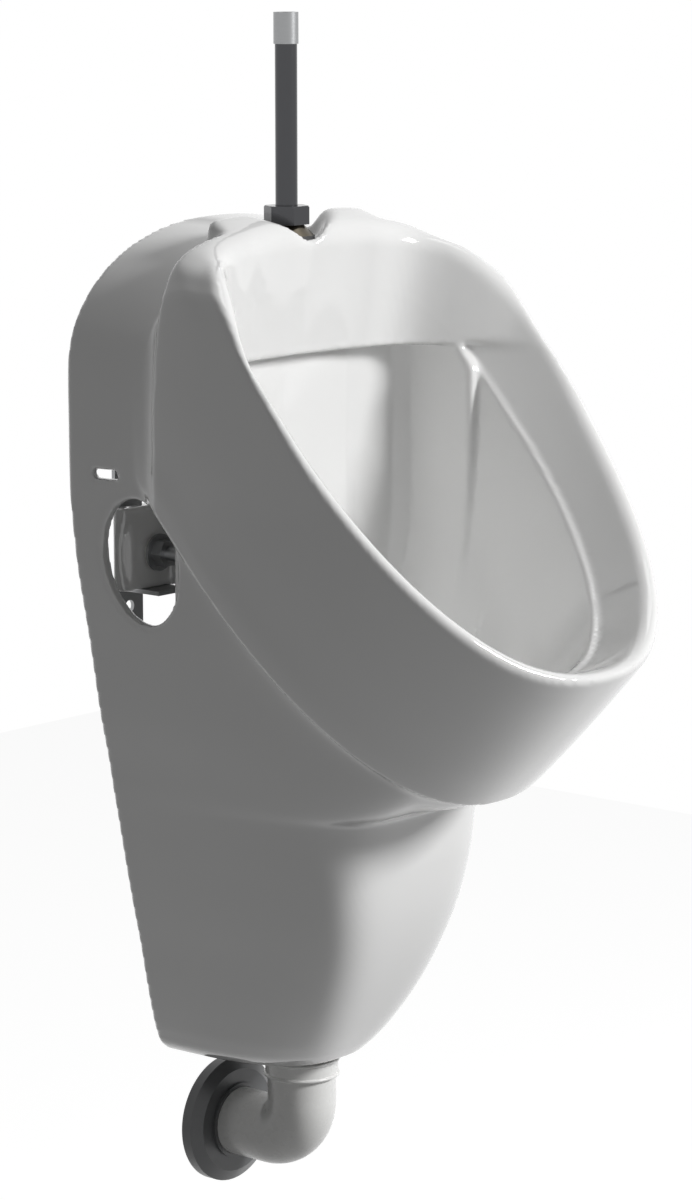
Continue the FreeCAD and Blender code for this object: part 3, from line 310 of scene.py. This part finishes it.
def fixing_lug(grid):
    """Inner lug with the hole that the wall bolt goes through."""
    plate = grid.slab(*LUG_PLATE, LUG_UP)
    web = grid.slab(*LUG_WEB, LUG_UP)
    bore = np.hypot(grid.X - FIXING_X, grid.U - FIXING_UP) - FIXING_BORE
    return cut(union(plate, web, 3), np.maximum(bore, grid.O - 40))


def side_openings(grid, body):
    """Cuts the oval hole beside the wall fixings and the short slot above it."""
    oval = np.hypot((grid.O - SIDE_HOLE_OUT) / SIDE_HOLE_HALF[0], (grid.U - FIXING_UP) / SIDE_HOLE_HALF[1]) - 1
    body = cut(body, common(grid.distance(oval * SMALL_SCALE + 0 * grid.X), 120 - grid.X), 3)
    along = np.maximum(np.abs(grid.O - SLOT_OUT) - SLOT_HALF, 0)
    slot = np.hypot(along, grid.U - FIXING_UP - SLOT_ABOVE) - SLOT_RADIUS
    return cut(body, np.maximum(slot, 122 - grid.X), 1.5)


def china_field(grid):
    rear = common(housing(grid), crown(grid), 14)
    rim = common(bowl_outside(grid), common(rim_top(grid), RIM_BACK - grid.O, 6), 12)
    # How far the lip lies below the straight line between its ends: it crowns at the top and sags at the front.
    slope = curve(grid.A, [(-30, -3), (0, -1), (30, -4), (66, -6), (110, -4), (150, -1), (0.5 * LIP_LENGTH, 2),
                           (0.88 * LIP_LENGTH, 4), (LIP_LENGTH, 0), (LIP_LENGTH + 30, -12)])
    crease = np.interp(grid.up, (195, 250), (5, 8))[None, None, :]
    roll = np.interp(grid.A, (10, 60), (14, 7))
    body = common(union(rear, rim, crease), grid.distance(slope - grid.B), roll)
    hollow = cut(bowl_inside(grid), fascia(grid), 5)
    body = cut(body, hollow, roll)
    body = cut(body, grid.rod(DRAIN_SEAT, DRAIN[0], DRAIN[1], DRAIN[1] + 30), 4)
    body = cut(body, rear_hollow(grid), 3)
    body = union(body, fixing_lug(grid), 4)
    body = side_openings(grid, body)
    body = cut(body, scoop(grid), 5)
    body = cut(body, grid.rod(PIPE_BORE, PIPE_OUT, 530, 600), 1)
    body = cut(body, grid.rod(DRAIN_BORE, DRAIN[0], 170, 250), 2)
    body = cut(body, grid.rod(OUTLET_BORE, OUTLET_OUT, -40, 40), 2)
    body = common(body, -grid.O, 2)
    return common(body, -grid.U, 3)


def surface(field, step, low):
    """Closed quad mesh through the zero level of a field, one corner per crossed cell."""
    solid = field < 0
    cell_shape = tuple(n - 1 for n in field.shape)
    total = np.zeros(cell_shape + (3,), dtype=np.float32)
    count = np.zeros(cell_shape, dtype=np.int32)

    def corner(array, i, j, k):
        return array[i:i + cell_shape[0], j:j + cell_shape[1], k:k + cell_shape[2]]

    # Each cell's point is the middle of the places where its edges cross the surface.
    for axis in range(3):
        for first in (0, 1):
            for second in (0, 1):
                a, b = [first, second], [first, second]
                a.insert(axis, 0)
                b.insert(axis, 1)
                fa, fb = corner(field, *a), corner(field, *b)
                crossed = corner(solid, *a) != corner(solid, *b)
                share = np.where(crossed, fa / np.where(crossed, fa - fb, 1), 0)
                count += crossed
                for k in range(3):
                    total[..., k] += crossed * (share if k == axis else a[k])
    used = count > 0
    index = np.full(cell_shape, -1, dtype=np.int64)
    index[used] = np.arange(used.sum())
    cells = np.argwhere(used)
    points = (cells + total[used] / count[used][:, None]) * step + np.array(low)
    # Each crossed grid edge gives one quad between the four cells round it.
    quads = []
    for axis in range(3):
        ahead = [slice(None)] * 3
        behind = [slice(None)] * 3
        ahead[axis], behind[axis] = slice(1, None), slice(None, -1)
        crossed = solid[tuple(behind)] != solid[tuple(ahead)]
        u, v = [k for k in range(3) if k != axis]
        places = np.argwhere(crossed)
        places = places[(places[:, u] > 0) & (places[:, v] > 0)
                        & (places[:, u] < field.shape[u] - 1) & (places[:, v] < field.shape[v] - 1)]
        outward = solid[tuple(behind)][tuple(places.T)]
        ring = []
        for du, dv in ((1, 1), (0, 1), (0, 0), (1, 0)):
            cell = places.copy()
            cell[:, u] -= du
            cell[:, v] -= dv
            ring.append(index[tuple(cell.T)])
        ring = np.stack(ring, 1)
        flip = outward if axis == 1 else ~outward
        ring[flip] = ring[flip][:, ::-1]
        quads.append(ring)
    return points, np.concatenate(quads)


def relax(points, quads, rounds):
    """Evens out the corners without shrinking the form."""
    ends = np.concatenate([quads[:, (0, 1)], quads[:, (1, 2)], quads[:, (2, 3)], quads[:, (3, 0)]])
    a, b = ends.T
    number = np.bincount(a, minlength=len(points)) + np.bincount(b, minlength=len(points))
    for turn in range(2 * rounds):
        weight = 0.5 if turn % 2 == 0 else -0.53
        mean = np.stack([np.bincount(a, points[b, k], len(points)) + np.bincount(b, points[a, k], len(points))
                         for k in range(3)], 1) / number[:, None]
        points = points + weight * (mean - points)
    return points


def mesh_object(name, points, faces, body, replaced):
    """A smooth piece that rides on a body and stands in for nodes of the frame."""
    mesh = bpy.data.meshes.new(name)
    mesh.from_pydata([tuple(p) for p in points], [], [tuple(f) for f in faces])
    mesh.update()
    mesh.polygons.foreach_set("use_smooth", [True] * len(mesh.polygons))
    piece = bpy.data.objects.new(name, mesh)
    bpy.context.scene.collection.objects.link(piece)
    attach(piece, body)
    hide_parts(*replaced)
    return piece


def china():
    grid = Grid(GRID_STEP)
    half = china_field(grid)
    whole = np.concatenate([half[::-1], half], 0)
    low = (-grid.x[-1], grid.out[0], grid.up[0])
    points, quads = surface(whole, grid.step, low)
    points = relax(points, quads, RELAX_ROUNDS)
    place = np.stack([points[:, 0], -points[:, 1], points[:, 2] - FIXING_UP], 1) * MM
    return mesh_object("china_glazed_body", place, quads, "urinal", ("china_body",))


# ================================================================ materials
def material(name, colour, rough, metal=0.0, coat=0.0, bump=0.0, scale=60.0, tint=0.0, stretch=(1, 1, 1)):
    """Principled material with a fine procedural variation of colour, roughness and height."""
    mat = bpy.data.materials.new(name)
    mat.use_nodes = True
    nodes, links = mat.node_tree.nodes, mat.node_tree.links
    shader = nodes["Principled BSDF"]
    shader.inputs["Metallic"].default_value = metal
    shader.inputs["Coat Weight"].default_value = coat
    shader.inputs["Coat Roughness"].default_value = 0.03
    where = nodes.new("ShaderNodeTexCoord")
    mapping = nodes.new("ShaderNodeMapping")
    mapping.inputs["Scale"].default_value = stretch
    noise = nodes.new("ShaderNodeTexNoise")
    noise.inputs["Scale"].default_value = scale
    noise.inputs["Detail"].default_value = 4.0
    links.new(where.outputs["Object"], mapping.inputs["Vector"])
    links.new(mapping.outputs["Vector"], noise.inputs["Vector"])
    ramp = nodes.new("ShaderNodeMix")
    ramp.data_type = "RGBA"
    ramp.inputs["A"].default_value = (*colour, 1)
    ramp.inputs["B"].default_value = (*[max(c * (1 - tint), 0) for c in colour], 1)
    links.new(noise.outputs["Fac"], ramp.inputs["Factor"])
    links.new(ramp.outputs["Result"], shader.inputs["Base Color"])
    spread = nodes.new("ShaderNodeMapRange")
    spread.inputs["To Min"].default_value = rough * 0.75
    spread.inputs["To Max"].default_value = rough * 1.25
    links.new(noise.outputs["Fac"], spread.inputs["Value"])
    links.new(spread.outputs["Result"], shader.inputs["Roughness"])
    if bump:
        height = nodes.new("ShaderNodeBump")
        height.inputs["Strength"].default_value = 1.0
        height.inputs["Distance"].default_value = bump
        links.new(noise.outputs["Fac"], height.inputs["Height"])
        links.new(height.outputs["Normal"], shader.inputs["Normal"])
    return mat


GLAZE = material("white_glaze", (0.80, 0.80, 0.795), 0.10, coat=0.6, bump=0.00006, scale=26, tint=0.012)
# Chrome with a very dark base colour: painted reflection, standing in for the dark surroundings that the flush pipe
# reflects.
CHROME_PAINTED_DARK_REFLECTION = material("chrome", (0.075, 0.076, 0.080), 0.16, metal=1.0, scale=140, tint=0.05)
STEEL = material("steel", (0.33, 0.335, 0.34), 0.32, metal=1.0, bump=0.00002, scale=220, tint=0.12, stretch=(1, 1, 8))
BRASS = material("brass", (0.12, 0.105, 0.08), 0.30, metal=1.0, scale=160, tint=0.15)
RUBBER = material("rubber", (0.030, 0.030, 0.031), 0.62, bump=0.00005, scale=400, tint=0.3)
PLASTIC = material("white_plastic", (0.86, 0.86, 0.845), 0.28, bump=0.00003, scale=120, tint=0.03)
GREY = material("grey_plastic", (0.115, 0.118, 0.122), 0.34, bump=0.00003, scale=150, tint=0.12)
BUSH = material("bush_plastic", (0.60, 0.60, 0.57), 0.45, scale=150, tint=0.06)

SLOTS = {"china": GLAZE, "chrome": CHROME_PAINTED_DARK_REFLECTION, "steel": STEEL, "brass": BRASS, "rubber": RUBBER,
         "white_plastic": PLASTIC, "grey_plastic": GREY, "bush_plastic": BUSH}
slot_of = {entry["node"]: entry["material_slot"] for entry in frame["record"]["subparts"]}
for name, node in frame["nodes"].items():
    for place in node.material_slots:
        place.material = SLOTS[slot_of[name]]

china().data.materials.append(GLAZE)


# ================================================================ floor, light and camera
def seen(nodes, links):
    """One for rays from the camera, from polished surfaces and through clear ones."""
    path = nodes.new("ShaderNodeLightPath")
    value = path.outputs["Is Camera Ray"]
    for name in ("Is Glossy Ray", "Is Transmission Ray"):
        both = nodes.new("ShaderNodeMath")
        both.operation = "ADD"
        both.use_clamp = True
        links.new(value, both.inputs[0])
        links.new(path.outputs[name], both.inputs[1])
        value = both.outputs[0]
    return value


def floor():
    """Plain pale floor: near white where it is seen, grey where it lights the object."""
    wide, deep, low = 3.0, 3.0, -1.0
    points = [(-wide, -deep, low), (wide, -deep, low), (wide, deep, low), (-wide, deep, low)]
    mesh = bpy.data.meshes.new("floor")
    mesh.from_pydata(points, [], [(0, 1, 2, 3)])
    piece = bpy.data.objects.new("floor", mesh)
    bpy.context.scene.collection.objects.link(piece)
    mat = bpy.data.materials.new("floor")
    mat.use_nodes = True
    nodes, links = mat.node_tree.nodes, mat.node_tree.links
    nodes.clear()
    plain = nodes.new("ShaderNodeBsdfDiffuse")
    plain.inputs["Color"].default_value = (0.30, 0.30, 0.30, 1)
    pale = nodes.new("ShaderNodeEmission")
    pale.inputs["Strength"].default_value = 0.90
    lit = nodes.new("ShaderNodeAddShader")
    either = nodes.new("ShaderNodeMixShader")
    end = nodes.new("ShaderNodeOutputMaterial")
    links.new(plain.outputs[0], lit.inputs[0])
    links.new(pale.outputs[0], lit.inputs[1])
    links.new(seen(nodes, links), either.inputs[0])
    links.new(plain.outputs[0], either.inputs[1])
    links.new(lit.outputs[0], either.inputs[2])
    links.new(either.outputs[0], end.inputs["Surface"])
    mesh.materials.append(mat)


def area(name, place, target, size, power):
    """Soft square lamp that faces its target."""
    lamp = bpy.data.lights.new(name, "AREA")
    lamp.shape = "RECTANGLE"
    lamp.size = lamp.size_y = size
    lamp.energy = power
    holder = bpy.data.objects.new(name, lamp)
    holder.location = place
    aim = np.array(target) - np.array(place)
    holder.rotation_euler = Vector(aim).to_track_quat("-Z", "Y").to_euler()
    bpy.context.scene.collection.objects.link(holder)


def camera():
    back = np.array((math.sin(AZIMUTH) * math.cos(ELEVATION), -math.cos(AZIMUTH) * math.cos(ELEVATION),
                     math.sin(ELEVATION)))
    data = bpy.data.cameras.new("camera")
    data.sensor_width = SENSOR
    data.lens = SENSOR * PIXELS_PER_MM * DISTANCE / PHOTO_HEIGHT
    data.shift_x, data.shift_y = SHIFT
    holder = bpy.data.objects.new("camera", data)
    holder.location = np.array(TARGET) + back * DISTANCE * MM
    holder.rotation_euler = (math.pi / 2 - ELEVATION, 0, AZIMUTH)
    bpy.context.scene.collection.objects.link(holder)
    bpy.context.scene.camera = holder


def world():
    """White where it is seen, dim where it lights the object."""
    place = bpy.data.worlds.new("studio")
    place.use_nodes = True
    nodes, links = place.node_tree.nodes, place.node_tree.links
    ground = nodes["Background"]
    ground.inputs["Color"].default_value = (1, 1, 1, 1)
    ground.inputs["Strength"].default_value = 0.11
    white = nodes.new("ShaderNodeBackground")
    white.inputs["Color"].default_value = (1, 1, 1, 1)
    white.inputs["Strength"].default_value = 1.0
    either = nodes.new("ShaderNodeMixShader")
    links.new(seen(nodes, links), either.inputs[0])
    links.new(ground.outputs[0], either.inputs[1])
    links.new(white.outputs[0], either.inputs[2])
    links.new(either.outputs[0], nodes["World Output"].inputs["Surface"])
    bpy.context.scene.world = place


floor()
area("key", (1.15, -2.40, 1.25), (0, -0.15, 0.0), 0.7, 80)
area("top", (0.9, -0.4, 2.4), (0, -0.10, 0.0), 1.0, 5)
camera()
world()
bpy.context.scene.view_settings.view_transform = "Standard"
